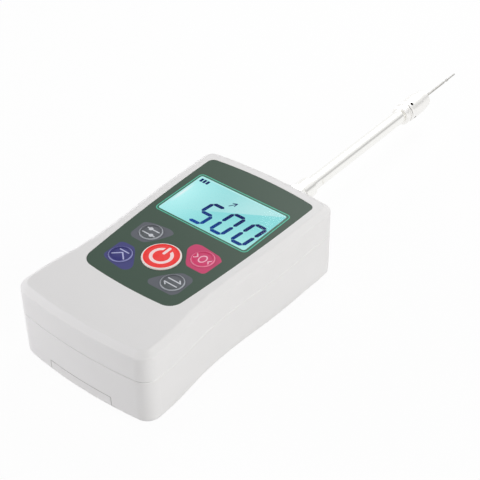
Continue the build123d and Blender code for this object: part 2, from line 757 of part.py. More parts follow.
with BuildPart() as charge_socket:
    face_plane = Plane(
        origin=(socket_face_x, charge_socket_y, socket_z), x_dir=(0, 1, 0), z_dir=(1, 0, 0)
    )
    with BuildSketch(face_plane):
        Rectangle(charge_socket_width, socket_height)
    extrude(amount=socket_depth)
    with BuildSketch(face_plane):
        RectangleRounded(charge_mouth_width, charge_mouth_height, charge_mouth_corner)
        Rectangle(charge_tongue_width, charge_tongue, mode=Mode.SUBTRACT)
    extrude(amount=charge_mouth_depth, mode=Mode.SUBTRACT)
charge_socket.part.label = "charge_socket"
export_step(charge_socket.part, "parts/charge_socket.step")

# ---------------------------------------------------------------- force sensor
bracket_z = floor_wall + bracket_post_height
with BuildPart() as cell_bracket:
    base = block_sketch(bracket_z, (0, bracket_y), bracket_width, bracket_depth, bracket_corner)
    extrude(base, amount=bracket_thickness)
    upright_y = cell_back_y - bracket_upright / 2
    upright = block_sketch(bracket_z, (0, upright_y), cell_width, bracket_upright)
    extrude(upright, amount=shaft_z + cell_thickness / 2 - bracket_z)
    holes = discs_sketch(bracket_z, bracket_posts, small_screw_radius + screw_hole_gap)
    extrude(holes, amount=bracket_thickness, mode=Mode.SUBTRACT)
    with BuildSketch(Plane(origin=(0, cell_back_y, shaft_z), x_dir=(1, 0, 0), z_dir=(0, 1, 0))):
        with GridLocations(cell_screw_spacing, 0, 2, 1):
            Circle(cell_screw_radius + screw_hole_gap)
    extrude(amount=-bracket_upright, mode=Mode.SUBTRACT)
cell_bracket.part.label = "cell_bracket"
export_step(cell_bracket.part, "parts/cell_bracket.step")

with BuildPart() as bracket_screws:
    shank_length = bracket_z + bracket_thickness - post_root - bracket_screw_room
    shanks = discs_sketch(bracket_z + bracket_thickness - shank_length, bracket_posts, small_screw_radius)
    extrude(shanks, amount=shank_length)
    heads = discs_sketch(bracket_z + bracket_thickness, bracket_posts, small_screw_head_radius)
    extrude(heads, amount=small_screw_head)
bracket_screws.part.label = "bracket_screws"
export_step(bracket_screws.part, "parts/bracket_screws.step")

cell_bottom_z = shaft_z - cell_thickness / 2
cell_y = cell_front_y - cell_length / 2
core_length = cell_length - 2 * cell_arm - 2 * cell_slot
with BuildPart() as load_cell:
    with BuildSketch(Plane.XY.offset(cell_bottom_z)):
        with Locations((0, cell_y)):
            Rectangle(cell_width, cell_length)
            slot_center = core_length / 2 + cell_slot / 2
            with Locations((-cell_slot_end / 2, slot_center), (cell_slot_end / 2, -slot_center)):
                Rectangle(cell_width - cell_slot_end, cell_slot, mode=Mode.SUBTRACT)
            with GridLocations(cell_hole_spacing, 0, 2, 1):
                Circle(cell_hole_radius, mode=Mode.SUBTRACT)
            Rectangle(cell_hole_spacing, cell_slot, mode=Mode.SUBTRACT)
    extrude(amount=cell_thickness)
    bore_depth = cell_arm - cell_bore_floor
    extrude(
        shaft_disc(cell_front_y, stud_radius + running_gap), amount=-bore_depth, mode=Mode.SUBTRACT
    )
    with BuildSketch(Plane(origin=(0, cell_back_y, shaft_z), x_dir=(1, 0, 0), z_dir=(0, 1, 0))):
        with GridLocations(cell_screw_spacing, 0, 2, 1):
            Circle(cell_screw_radius + thread_gap)
    extrude(amount=cell_screw_length - bracket_upright + end_room, mode=Mode.SUBTRACT)
load_cell.part.label = "load_cell"
export_step(load_cell.part, "parts/load_cell.step")

with BuildPart() as cell_screws:
    screw_seat = Plane(origin=(0, bracket_back_y, shaft_z), x_dir=(1, 0, 0), z_dir=(0, 1, 0))
    with BuildSketch(screw_seat):
        with GridLocations(cell_screw_spacing, 0, 2, 1):
            Circle(cell_screw_radius)
    extrude(amount=cell_screw_length)
    with BuildSketch(screw_seat):
        with GridLocations(cell_screw_spacing, 0, 2, 1):
            Circle(cell_screw_head_radius)
    extrude(amount=-cell_screw_head)
    with BuildSketch(screw_seat.offset(-cell_screw_head)):
        with GridLocations(cell_screw_spacing, 0, 2, 1):
            RegularPolygon(radius=cell_screw_radius * 0.8, side_count=6)
    extrude(amount=cell_screw_head / 2, mode=Mode.SUBTRACT)
cell_screws.part.label = "cell_screws"
export_step(cell_screws.part, "parts/cell_screws.step")

with BuildPart() as strain_gauges:
    for face_y, direction in ((cell_y + core_length / 2, 1), (cell_y - core_length / 2, -1)):
        with BuildSketch(Plane(origin=(0, face_y, shaft_z), x_dir=(1, 0, 0), z_dir=(0, direction, 0))):
            with GridLocations(cell_hole_spacing, 0, 2, 1):
                Rectangle(gauge_length, gauge_width)
        extrude(amount=gauge_thickness)
strain_gauges.part.label = "strain_gauges"
export_step(strain_gauges.part, "parts/strain_gauges.step")

with BuildPart() as lead_connector:
    connector_x = -cell_width / 2 - connector_from_cell - connector_width / 2
    connector_z = board_bottom_z - connector_height
    connector_length = lead_width + 2 * connector_margin
    connector = block_sketch(connector_z, (connector_x, cell_y), connector_width, connector_length)
    extrude(connector, amount=connector_height)
lead_connector.part.label = "lead_connector"
export_step(lead_connector.part, "parts/lead_connector.step")

with BuildPart() as cell_lead:
    with BuildSketch(Plane(origin=(0, cell_y, 0), x_dir=(1, 0, 0), z_dir=(0, -1, 0))):
        with BuildLine():
            FilletPolyline(
                (-cell_width / 2, shaft_z),
                (connector_x, shaft_z),
                (connector_x, connector_z),
                radius=lead_bend,
            )
        trace(line_width=lead_thickness)
    extrude(amount=lead_width / 2, both=True)
cell_lead.part.label = "cell_lead"
export_step(cell_lead.part, "parts/cell_lead.step")

collar_y = cell_front_y + shaft_travel + running_gap
stud_back_y = cell_front_y - bore_depth + shaft_travel + end_room
shoulder_y = nose_y + shaft_shoulder_proud
stud_end_y = nose_y + stud_proud
with BuildPart() as measuring_shaft:
    profile = [
        (stud_back_y, 0),
        (stud_back_y, stud_radius),
        (collar_y, stud_radius),
        (collar_y, shaft_collar_radius),
        (collar_y + shaft_collar, shaft_collar_radius),
        (collar_y + shaft_collar, shaft_radius),
        (shoulder_y - turned_chamfer, shaft_radius),
        (shoulder_y, shaft_radius - turned_chamfer),
        (shoulder_y, stud_radius),
        (stud_end_y - turned_chamfer, stud_radius),
        (stud_end_y, stud_radius - turned_chamfer),
        (stud_end_y, 0),
    ]
    revolve(turned_sketch(profile), axis=shaft_axis)
measuring_shaft.part.label = "measuring_shaft"
export_step(measuring_shaft.part, "parts/measuring_shaft.step")

with BuildPart() as lock_nut:
    nut_back_y = nut_front_y - nut_thickness
    nut_corner = nut_across_flats / sqrt(3)
    nut_plane = Plane(origin=(0, nut_back_y, shaft_z), x_dir=(1, 0, 0), z_dir=(0, 1, 0))
    with BuildSketch(nut_plane):
        RegularPolygon(radius=nut_corner, side_count=6)
        Circle(stud_radius + running_gap, mode=Mode.SUBTRACT)
    extrude(amount=nut_thickness)
    drop = nut_corner - nut_across_flats / 2
    crown = [
        (nut_back_y, 0),
        (nut_back_y, nut_across_flats / 2),
        (nut_back_y + drop, nut_corner),
        (nut_front_y - drop, nut_corner),
        (nut_front_y, nut_across_flats / 2),
        (nut_front_y, 0),
    ]
    revolve(turned_sketch(crown), axis=shaft_axis, mode=Mode.INTERSECT)
lock_nut.part.label = "lock_nut"
export_step(lock_nut.part, "parts/lock_nut.step")

# ---------------------------------------------------------------- rod and needle chuck
with BuildPart() as extension_rod:
    hub_end_y = hub_y + rod_hub
    socket_end_y = stud_end_y + end_room
    profile = [
        (hub_y, stud_radius + running_gap),
        (hub_y, rod_hub_radius - turned_chamfer),
        (hub_y + turned_chamfer, rod_hub_radius),
        (hub_end_y - rod_hub_taper, rod_hub_radius),
        (hub_end_y, rod_radius),
        (rod_end_y - turned_chamfer, rod_radius),
        (rod_end_y, rod_radius - turned_chamfer),
        (rod_end_y, stud_radius),
        (rod_end_y + rod_stud - turned_chamfer, stud_radius),
        (rod_end_y + rod_stud, stud_radius - turned_chamfer),
        (rod_end_y + rod_stud, 0),
        (socket_end_y, 0),
        (socket_end_y, stud_radius + running_gap),
    ]
    revolve(turned_sketch(profile), axis=shaft_axis)
    flat_y = hub_end_y + rod_flat_from_hub + rod_flat_length / 2
    with BuildSketch(Plane.XY.offset(shaft_z)):
        flat_depth = rod_radius - rod_flat_width / 2
        for side in (-1, 1):
            with Locations((side * (rod_radius - flat_depth / 2), flat_y)):
                Rectangle(flat_depth, rod_flat_length)
    extrude(amount=rod_radius, both=True, mode=Mode.SUBTRACT)
extension_rod.part.label = "extension_rod"
export_step(extension_rod.part, "parts/extension_rod.step")

with BuildPart() as chuck_body:
    rear_bore_y = rod_end_y + rod_stud + end_room
    front_bore_y = rear_bore_y + chuck_web
    collar_end_y = rod_end_y + chuck_collar
    groove_y = rod_end_y + chuck_groove_from_back
    groove_end_y = groove_y + chuck_groove
    groove_radius = chuck_collar_radius - chuck_groove_depth
    passage_radius = needle_radius + needle_passage_gap
    profile = [
        (rod_end_y, stud_radius + running_gap),
        (rod_end_y, chuck_collar_radius - turned_chamfer),
        (rod_end_y + turned_chamfer, chuck_collar_radius),
        (groove_y, chuck_collar_radius),
        (groove_y, groove_radius),
        (groove_end_y, groove_radius),
        (groove_end_y, chuck_collar_radius),
        (collar_end_y - turned_chamfer, chuck_collar_radius),
        (collar_end_y, chuck_collar_radius - turned_chamfer),
        (collar_end_y, chuck_thread_radius),
        (chuck_front_y, chuck_thread_radius),
        (chuck_front_y, collet_radius + running_gap),
        (front_bore_y, collet_radius + running_gap),
        (front_bore_y, passage_radius),
        (rear_bore_y, passage_radius),
        (rear_bore_y, stud_radius + running_gap),
    ]
    revolve(turned_sketch(profile), axis=shaft_axis)
chuck_body.part.label = "chuck_body"
export_step(chuck_body.part, "parts/chuck_body.step")

with BuildPart() as collet:
    collet_y = front_bore_y + collet_play
    collet_head_y = chuck_front_y + collet_play
    collet_tip_y = chuck_nose_y + collet_proud
    collet_tip_radius = chuck_nut_mouth_radius - collet_mouth_gap
    profile = [
        (collet_y, needle_radius + running_gap),
        (collet_y, collet_radius),
        (collet_head_y, collet_radius),
        (collet_head_y, collet_head_radius),
        (collet_head_y + collet_head, collet_head_radius),
        (collet_tip_y, collet_tip_radius),
        (collet_tip_y, needle_radius + running_gap),
    ]
    revolve(turned_sketch(profile), axis=shaft_axis)
    slit_y = collet_y + collet_ring
    slit_length = collet_tip_y - slit_y
    with BuildSketch(Plane(origin=(0, slit_y, shaft_z), x_dir=(1, 0, 0), z_dir=(0, 1, 0))):
        Rectangle(collet_slit, 2 * collet_head_radius)
        Rectangle(2 * collet_head_radius, collet_slit)
    extrude(amount=slit_length, mode=Mode.SUBTRACT)
collet.part.label = "collet"
export_step(collet.part, "parts/collet.step")

with BuildPart() as chuck_nut:
    cone_y = chuck_front_y + collet_play + collet_head + collet_play
    seat_radius = collet_head_radius + collet_cone_gap
    taper_y = chuck_nose_y - chuck_nut_taper
    profile = [
        (chuck_nut_y, chuck_thread_radius + running_gap),
        (chuck_nut_y, chuck_nut_radius - turned_chamfer),
        (chuck_nut_y + turned_chamfer, chuck_nut_radius),
        (taper_y, chuck_nut_radius),
        (chuck_nose_y - turned_chamfer, chuck_nut_nose_radius),
        (chuck_nose_y, chuck_nut_nose_radius - turned_chamfer),
        (chuck_nose_y, chuck_nut_mouth_radius),
        (cone_y, seat_radius),
        (chuck_front_y + collet_play, seat_radius),
        (chuck_front_y + collet_play, chuck_thread_radius + running_gap),
    ]
    revolve(turned_sketch(profile), axis=shaft_axis)
    tommy_floor = chuck_nut_radius - tommy_hole_depth
    for index in range(tommy_hole_count):
        turn = (0, tommy_hole_turn + 360 / tommy_hole_count * index, 0)
        hole_base = Plane(origin=(0, chuck_nut_y + tommy_hole_from_back, shaft_z)).rotated(turn)
        with BuildSketch(hole_base.offset(tommy_floor)):
            Circle(tommy_hole_radius)
        extrude(amount=chuck_nut_radius, mode=Mode.SUBTRACT)
chuck_nut.part.label = "chuck_nut"
export_step(chuck_nut.part, "parts/chuck_nut.step")

with BuildPart() as probe_needle:
    shank_y = chuck_nose_y - needle_in_chuck
    neck_y = chuck_nose_y + needle_shank
    bead_y = neck_y + needle_neck
    tip_y = bead_y + needle_bead
    profile = [
        (shank_y, 0),
        (shank_y, needle_radius),
        (neck_y - needle_taper, needle_radius),
        (neck_y, needle_neck_radius),
        (bead_y, needle_neck_radius),
        (bead_y + needle_taper, needle_bead_radius),
        (tip_y - needle_taper, needle_bead_radius),
        (tip_y, needle_tip_radius),
        (tip_y + needle_tip - needle_taper, needle_tip_radius),
        (tip_y + needle_tip, needle_point_radius),
        (tip_y + needle_tip, 0),
    ]
    revolve(turned_sketch(profile), axis=shaft_axis)
probe_needle.part.label = "probe_needle"
export_step(probe_needle.part, "parts/probe_needle.step")

# ---------------------------------------------------------------- batteries
battery_y = bay_back_y + contact_room
battery_x = battery_radius + battery_gap / 2
with BuildPart() as batteries:
    for side, start_y, direction in ((-1, battery_y, 1), (1, battery_y + battery_length, -1)):
        cell_end = Plane(
            origin=(side * battery_x, start_y, battery_z), x_dir=(1, 0, 0), z_dir=(0, direction, 0)
        )
        with BuildSketch(cell_end):
            Circle(battery_radius)
        extrude(amount=battery_length - battery_nub)
        with BuildSketch(cell_end):
            Circle(battery_nub_radius)
        extrude(amount=battery_length)
batteries.part.label = "batteries"
export_step(batteries.part, "parts/batteries.step")

with BuildPart() as battery_contacts:
    plate_height = 2 * (battery_radius - contact_margin)
    crest = contact_room - running_gap
    foot = plate_height / 2 - contact_margin
    inner_foot = foot - contact_margin
    inner_crest = crest - contact_thickness
    for end_y, direction in ((bay_back_y, 1), (bay_front_y, -1)):
        for side in (-1, 1):
            plate = Plane(
                origin=(side * battery_x, end_y, battery_z), x_dir=(1, 0, 0), z_dir=(0, direction, 0)
            )
            with BuildSketch(plate):
                Rectangle(contact_width, plate_height)
            extrude(amount=contact_thickness)
            leaf = Plane(
                origin=(side * battery_x, end_y, battery_z), x_dir=(0, direction, 0), z_dir=(1, 0, 0)
            )
            with BuildSketch(leaf):
                with BuildLine():
                    outer = ThreePointArc((contact_thickness, -foot), (crest, 0), (contact_thickness, foot))
                    ThreePointArc((0, -inner_foot), (inner_crest, 0), (0, inner_foot))
                    Line(outer @ 0, (0, -inner_foot))
                    Line(outer @ 1, (0, inner_foot))
                make_face()
            extrude(amount=contact_width / 2 - contact_margin, both=True)
battery_contacts.part.label = "battery_contacts"
export_step(battery_contacts.part, "parts/battery_contacts.step")
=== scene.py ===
import math

import bpy
from mathutils import Matrix, Vector

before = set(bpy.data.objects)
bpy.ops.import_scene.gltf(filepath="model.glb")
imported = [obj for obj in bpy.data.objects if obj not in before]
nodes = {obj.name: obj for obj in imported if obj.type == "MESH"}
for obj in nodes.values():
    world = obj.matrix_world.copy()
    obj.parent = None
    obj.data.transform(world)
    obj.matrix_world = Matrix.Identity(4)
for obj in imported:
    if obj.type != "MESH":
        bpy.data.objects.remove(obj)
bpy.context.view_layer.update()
bpy.ops.object.select_all(action="DESELECT")

MM = 0.001
WHITE = (1.0, 1.0, 1.0, 1.0)
BLACK = (0.0, 0.0, 0.0, 1.0)

# ------------------------------------------------ places on the gauge, in millimetres
FACE_Z = 39.7             # face of the case
BEVEL_LOW_Z = 37.1        # foot of the bevelled rim
SEAM_Z = 24.7             # joint between the two shells
BUTT_Y = -61.0            # in front of here the case has sides, behind it the butt
COVER_HALF_WIDTH = 17.58
COVER_TONGUE_Z = 7.92     # top edge of the battery cover on the butt
DISPLAY_Y = 28.35
OPENING_HALF_X = 24.95    # opening of the film round the display
OPENING_HALF_Y = 15.2
OPENING_CORNER = 1.15
SHAFT_Z = 15.8            # axis of the shaft, rod and chuck
CHUCK_HOLES_Y = 180.9     # ring of blind holes in the chuck's nut
POWER_Y = -12.2
KEY_X = 14.94             # the four small keys, from the power key
KEY_Y = 9.74
KEY_CENTERS = {
    "power": (0.0, POWER_Y),
    "set": (-KEY_X, POWER_Y + KEY_Y),
    "zero": (KEY_X, POWER_Y + KEY_Y),
    "peak": (-KEY_X, POWER_Y - KEY_Y),
    "unit": (KEY_X, POWER_Y - KEY_Y),
}


def from_screen(red, green, blue):
    """Linear colour of a colour written in a screen's numbers of 0 to 255, by the sRGB curve."""
    linear = []
    for part in (red, green, blue):
        part = part / 255
        linear.append(part / 12.92 if part <= 0.04045 else ((part + 0.055) / 1.055) ** 2.4)
    return (*linear, 1.0)


# ------------------------------------------------ shader values and finishes
class Value:
    """An output of a node. Arithmetic on one that is a number adds Math nodes to its graph."""

    def __init__(self, graph, socket):
        self.graph = graph
        self.socket = socket

    def math(self, operation, *others, clamp=False):
        settings = {"operation": operation, "use_clamp": clamp}
        return self.graph.node("ShaderNodeMath", settings, [self, *others])

    def __add__(self, other):
        return self.math("ADD", other)

    __radd__ = __add__

    def __sub__(self, other):
        return self.math("SUBTRACT", other)

    def __rsub__(self, other):
        return self.math("MULTIPLY_ADD", -1.0, other)

    def __mul__(self, other):
        return self.math("MULTIPLY", other)

    __rmul__ = __mul__

    def __truediv__(self, other):
        return self.math("DIVIDE", other)

    def __abs__(self):
        return self.math("ABSOLUTE")

    def root(self):
        return self.math("SQRT")

    def least(self, other):
        return self.math("MINIMUM", other)

    def most(self, other):
        return self.math("MAXIMUM", other)

    def inside(self, soft):
        """1 where the value is below 0 and 0 where it is above, over a soft edge."""
        return self.math("MULTIPLY_ADD", -1.0 / soft, 0.5, clamp=True)

    def ramp(self, low, high):
        """0 at low and 1 at high, in a straight line."""
        span = high - low
        return self.math("MULTIPLY_ADD", 1.0 / span, -low / span, clamp=True)


class Graph:
    """The node tree of a material or world, emptied and built up again from values."""

    def __init__(self, owner):
        owner.use_nodes = True
        self.tree = owner.node_tree
        self.tree.nodes.clear()

    def feed(self, socket, value):
        """Set a socket to a number or colour, or link a varying value to it."""
        if isinstance(value, Value):
            self.tree.links.new(value.socket, socket)
        else:
            socket.default_value = value

    def node(self, kind, settings=None, values=(), output=0):
        """Add one node. Its settings are set first, then its sockets by order or by name."""
        made = self.tree.nodes.new(kind)
        for key, value in (settings or {}).items():
            setattr(made, key, value)
        pairs = values.items() if isinstance(values, dict) else enumerate(values)
        for key, value in pairs:
            self.feed(made.inputs[key], value)
        return Value(self, made.outputs[output])

    def split(self, vector):
        """X, Y and Z of a vector, as three values."""
        outputs = self.node("ShaderNodeSeparateXYZ", None, [vector]).socket.node.outputs
        return [Value(self, socket) for socket in outputs]

    def show(self, shader, kind="Material"):
        """Join a shader to the output of a material or world."""
        surface = self.tree.nodes.new(f"ShaderNodeOutput{kind}").inputs["Surface"]
        self.feed(surface, shader)


class Finish(Graph):
    """A material of one Principled shader, which is given to CAD nodes."""

    def __init__(self, name, **fixed):
        self.material = bpy.data.materials.new(name)
        super().__init__(self.material)
        self.shader = self.tree.nodes.new("ShaderNodeBsdfPrincipled")
        self.show(Value(self, self.shader.outputs[0]))
        self.set(**fixed)
        self.place = None

    def set(self, **values):
        """Set the shader's sockets by name, with _ for each space."""
        for key, value in values.items():
            self.feed(self.shader.inputs[key.replace("_", " ")], value)

    def point(self):
        """Object coordinates in millimetres, as one vector."""
        if self.place is None:
            here = self.node("ShaderNodeTexCoord", output="Object")
            scale = {"operation": "SCALE"}
            self.place = self.node("ShaderNodeVectorMath", scale, {0: here, "Scale": 1000.0})
        return self.place

    def axes(self):
        """X, Y and Z in millimetres, as three values."""
        return self.split(self.point())

    def stretched(self, *scales):
        """The point with each axis scaled, for grain that runs one way."""
        multiply = {"operation": "MULTIPLY"}
        return self.node("ShaderNodeVectorMath", multiply, [self.point(), scales])

    def noise(self, size, detail=2.0, where=None):
        """Soft noise from 0 to 1 with features of about this size in millimetres."""
        place = where or self.point()
        values = {"Vector": place, "Scale": 1.0 / size, "Detail": detail}
        return self.node("ShaderNodeTexNoise", None, values)

    def mix(self, factor, first, second):
        """Colour between two colours."""
        # the colour sockets of a Mix node share their names with others, so they go by number
        settings = {"data_type": "RGBA"}
        return self.node("ShaderNodeMix", settings, {0: factor, 6: first, 7: second}, output=2)

    def bump(self, height, depth, strength=1.0):
        """Normals from a height of 0 to 1 that is depth millimetres deep."""
        values = {"Strength": strength, "Distance": depth * MM, "Height": height}
        self.set(Normal=self.node("ShaderNodeBump", None, values))

    def give(self, *names):
        """Put the finish on CAD nodes."""
        for name in names:
            for slot in nodes[name].material_slots:
                slot.material = self.material


# ------------------------------------------------ outlines for printing, negative inside
def length_of(x, y):
    return (x * x + y * y).root()


def disc(x, y, radius, center=(0.0, 0.0)):
    return length_of(x - center[0], y - center[1]) - radius


def ring(x, y, radius, width, center=(0.0, 0.0)):
    return abs(disc(x, y, radius, center)) - width / 2


def plate(x, y, center, half_x, half_y, corner):
    """Rectangle with rounded corners."""
    over_x = abs(x - center[0]) - (half_x - corner)
    over_y = abs(y - center[1]) - (half_y - corner)
    outside = length_of(over_x.most(0.0), over_y.most(0.0))
    return outside + over_x.most(over_y).least(0.0) - corner


def stroke(x, y, start, end, width):
    """Line with round ends."""
    run_x = end[0] - start[0]
    run_y = end[1] - start[1]
    square = run_x * run_x + run_y * run_y
    from_x = x - start[0]
    from_y = y - start[1]
    along = (from_x * (run_x / square) + from_y * (run_y / square)).ramp(0.0, 1.0)
    return length_of(from_x - along * run_x, from_y - along * run_y) - width / 2


def patch(x, y, corners, rounding):
    """Convex patch with rounded corners, from its corners in order."""
    middle = [sum(corner[axis] for corner in corners) / len(corners) for axis in (0, 1)]
    edge = None
    for start, end in zip(corners, corners[1:] + corners[:1]):
        out_x = end[1] - start[1]
        out_y = start[0] - end[0]
        size = math.hypot(out_x, out_y)
        out_x, out_y = out_x / size, out_y / size
        if out_x * (start[0] - middle[0]) + out_y * (start[1] - middle[1]) < 0:
            out_x, out_y = -out_x, -out_y
        side = x * out_x + y * out_y - (out_x * start[0] + out_y * start[1])
        edge = side if edge is None else edge.math("SMOOTH_MAX", side, rounding)
    return edge


def union(shapes):
    joined = shapes[0]
    for shape in shapes[1:]:
        joined = joined.least(shape)
    return joined


# ------------------------------------------------ case
CASE_SHADES = (from_screen(226, 225, 225), from_screen(229, 228, 228))
BEVEL_PAINTED_HIGHLIGHT = from_screen(240, 239, 239)
PAINTED_GLINT = from_screen(255, 254, 253)
DUST_AND_PAINTED_SHADE = from_screen(132, 130, 127)
CLOUD_SIZE = 14.0
MOULD_GRAIN_SIZE = 0.42
SEAM_HALF_LINE = 0.16
COVER_HALF_LINE = 0.14
LINE_EDGE = 0.12

case = Finish("moulded case", IOR=1.46)
x, y, z = case.axes()
cloud = case.noise(CLOUD_SIZE, 3.0)
grain = case.noise(MOULD_GRAIN_SIZE, 3.0)
shade = case.mix(cloud, *CASE_SHADES)
# a painted highlight along the bevelled rim of the face
on_bevel = z.ramp(BEVEL_LOW_Z, BEVEL_LOW_Z + 0.4) * z.ramp(FACE_Z - 0.05, FACE_Z - 0.3)
shade = case.mix(on_bevel * 0.3, shade, BEVEL_PAINTED_HIGHLIGHT)

# painted shade in the seam, on the butt only, and on the sides a painted highlight along its edges
at_butt = y - BUTT_Y
on_butt = at_butt.ramp(3.0, -2.0)
seam_line = abs(z - SEAM_Z) - SEAM_HALF_LINE
painted_glint = (seam_line - 0.2).inside(LINE_EDGE) * (1.0 - on_butt)
shade = case.mix(painted_glint * 0.18, shade, PAINTED_GLINT)
shade = case.mix(seam_line.inside(LINE_EDGE) * on_butt * 0.5, shade, DUST_AND_PAINTED_SHADE)

# dust and painted shade in the gap round the tongue of the battery cover
cover_side = abs(x) - COVER_HALF_WIDTH
cover_top = z - COVER_TONGUE_Z
top_line = (abs(cover_top) - COVER_HALF_LINE).most(cover_side - COVER_HALF_LINE)
side_line = (abs(cover_side) - COVER_HALF_LINE).most(cover_top)
cover_line = top_line.least(side_line).most(at_butt)
shade = case.mix(cover_line.inside(LINE_EDGE) * 0.85, shade, DUST_AND_PAINTED_SHADE)
case.set(Base_Color=shade, Roughness=0.44 + grain * 0.14)
case.bump(grain, 0.035, 0.35)
case.give("front_shell", "rear_shell", "battery_cover")

# ------------------------------------------------ printed film
FILM = from_screen(62, 81, 69)
OUTLINE = from_screen(88, 196, 166)
OUTLINE_DIM = from_screen(66, 128, 108)
GREY_PRINT = from_screen(94, 97, 105)
MAGENTA_PRINT = from_screen(200, 66, 110)
BLUE_PRINT = from_screen(68, 69, 124)
OUTLINE_CENTER = (0.15, DISPLAY_Y)
OUTLINE_HALF_X = 26.1
OUTLINE_HALF_Y = 16.3
OUTLINE_CORNER = 2.0
OUTLINE_EDGE = 0.15
PATCH_EDGE = 0.35

# colour, rounding and corners of the patch round each small key
KEY_PATCHES = {
    "set": (GREY_PRINT, 1.5, [
        (-22.4, 1.0), (-19.4, 2.9), (-9.2, 4.4), (-6.3, 3.1), (-5.5, 0.9),
        (-6.5, -1.3), (-8.7, -4.3), (-10.6, -8.8), (-12.2, -9.9), (-19.9, -9.9), (-21.9, -8.2),
    ]),
    "zero": (MAGENTA_PRINT, 1.0, [
        (8.2, 4.5), (19.6, 3.4), (22.3, 1.4), (21.8, -8.8), (20.6, -10.0),
        (12.2, -10.0), (10.8, -9.0), (5.1, -1.2), (4.9, 1.2), (5.8, 3.5),
    ]),
    "peak": (BLUE_PRINT, 1.2, [
        (-21.0, -15.8), (-19.4, -14.6), (-13.7, -14.5), (-11.6, -16.1), (-5.4, -24.1),
        (-5.0, -25.9), (-5.6, -27.6), (-7.5, -28.9), (-10.0, -28.9), (-19.1, -27.5), (-21.0, -26.0),
    ]),
    "unit": (GREY_PRINT, 1.5, [
        (11.0, -15.6), (13.7, -14.4), (19.5, -14.5), (21.3, -16.2), (21.4, -26.0),
        (19.6, -28.4), (7.0, -28.7), (5.1, -26.4), (5.4, -24.0), (8.1, -21.1),
    ]),
}

film = Finish("printed film", IOR=1.48, Specular_IOR_Level=0.2)
x, y, _ = film.axes()
colour = FILM
for print_colour, rounding, corners in KEY_PATCHES.values():
    colour = film.mix(patch(x, y, corners, rounding).inside(PATCH_EDGE), colour, print_colour)
outline = plate(x, y, OUTLINE_CENTER, OUTLINE_HALF_X, OUTLINE_HALF_Y, OUTLINE_CORNER)
inner_line = abs(outline + 0.9) - 0.16
outer_line = abs(outline) - 0.24
colour = film.mix(inner_line.inside(OUTLINE_EDGE), colour, OUTLINE_DIM)
colour = film.mix(outer_line.inside(OUTLINE_EDGE), colour, OUTLINE)
film_grain = film.noise(0.25)
film.set(Base_Color=colour, Roughness=0.34 + film_grain * 0.1)
film.bump(film_grain, 0.01, 0.25)
film.give("overlay_panel")

# ------------------------------------------------ keys
SIGN_WIDTH = 0.62
FINE_WIDTH = 0.6
SIGN_EDGE = 0.14
RING_EDGE = 0.16


def power_sign(x, y):
    """Ring that is open at its top, with a bar in the opening."""
    gap = (y - 1.6).least(1.9 - abs(x + 0.3))
    open_ring = ring(x, y, 4.6, 1.55, (-0.3, 0.25)).most(gap)
    bar = plate(x, y, (-0.5, 4.1), 0.72, 2.6, 0.7)
    return open_ring.least(bar)


def slider_sign(x, y):
    """Two sliders, one set low and one set high."""
    parts = []
    for level, knob in ((1.7, -1.5), (-1.7, 1.5)):
        parts.append(stroke(x, y, (-3.3, level), (3.3, level), SIGN_WIDTH))
        parts.append(disc(x, y, 1.05, (knob, level)))
    return union(parts)


def zero_sign(x, y):
    """Zero between two arrow heads that point at it."""
    parts = [abs(length_of(x * 1.35, y) - 2.2) - 0.36]
    for side in (-1.0, 1.0):
        for end_y in (1.3, -1.3):
            parts.append(stroke(x, y, (4.0 * side, end_y), (2.9 * side, 0.0), FINE_WIDTH))
    return union(parts)


def peak_sign(x, y):
    """Peak under a line."""
    rise = stroke(x, y, (-3.4, -1.7), (0.0, 1.4), SIGN_WIDTH)
    fall = stroke(x, y, (0.0, 1.4), (3.4, -1.7), SIGN_WIDTH)
    top = stroke(x, y, (-2.4, 2.6), (2.4, 2.6), SIGN_WIDTH)
    return union([rise, fall, top])


def swap_sign(x, y):
    """Two half arrows that point opposite ways."""
    parts = []
    for side in (1.0, -1.0):
        level = 1.3 * side
        tip = 3.3 * side
        barb = (tip - 1.4 * side, level + 1.3 * side)
        parts.append(stroke(x, y, (-tip, level), (tip, level), FINE_WIDTH))
        parts.append(stroke(x, y, (tip, level), barb, FINE_WIDTH))
    return union(parts)


# radius and width of the line round a key's dish
POWER_RING = (8.45, 0.8)
SMALL_RING = (5.15, 0.42)

# body, painted shade on the low side of the body, ring line (print on the power key, a painted
# highlight on the raised rim of the small keys) and sign
RED = from_screen(245, 44, 42)
POWER_COLOURS = (RED, RED, from_screen(240, 234, 231), from_screen(250, 224, 224))
GREY_COLOURS = (
    from_screen(92, 95, 101), from_screen(80, 86, 88),
    from_screen(184, 188, 194), from_screen(206, 209, 215),
)
MAGENTA_COLOURS = (
    from_screen(206, 62, 110), from_screen(214, 46, 104),
    from_screen(240, 150, 178), from_screen(246, 188, 206),
)
BLUE_COLOURS = (
    from_screen(56, 56, 118), from_screen(34, 32, 110),
    from_screen(158, 160, 206), from_screen(184, 186, 224),
)
KEYS = {
    "power": (power_sign, POWER_RING, POWER_COLOURS),
    "set": (slider_sign, SMALL_RING, GREY_COLOURS),
    "zero": (zero_sign, SMALL_RING, MAGENTA_COLOURS),
    "peak": (peak_sign, SMALL_RING, BLUE_COLOURS),
    "unit": (swap_sign, SMALL_RING, GREY_COLOURS),
}

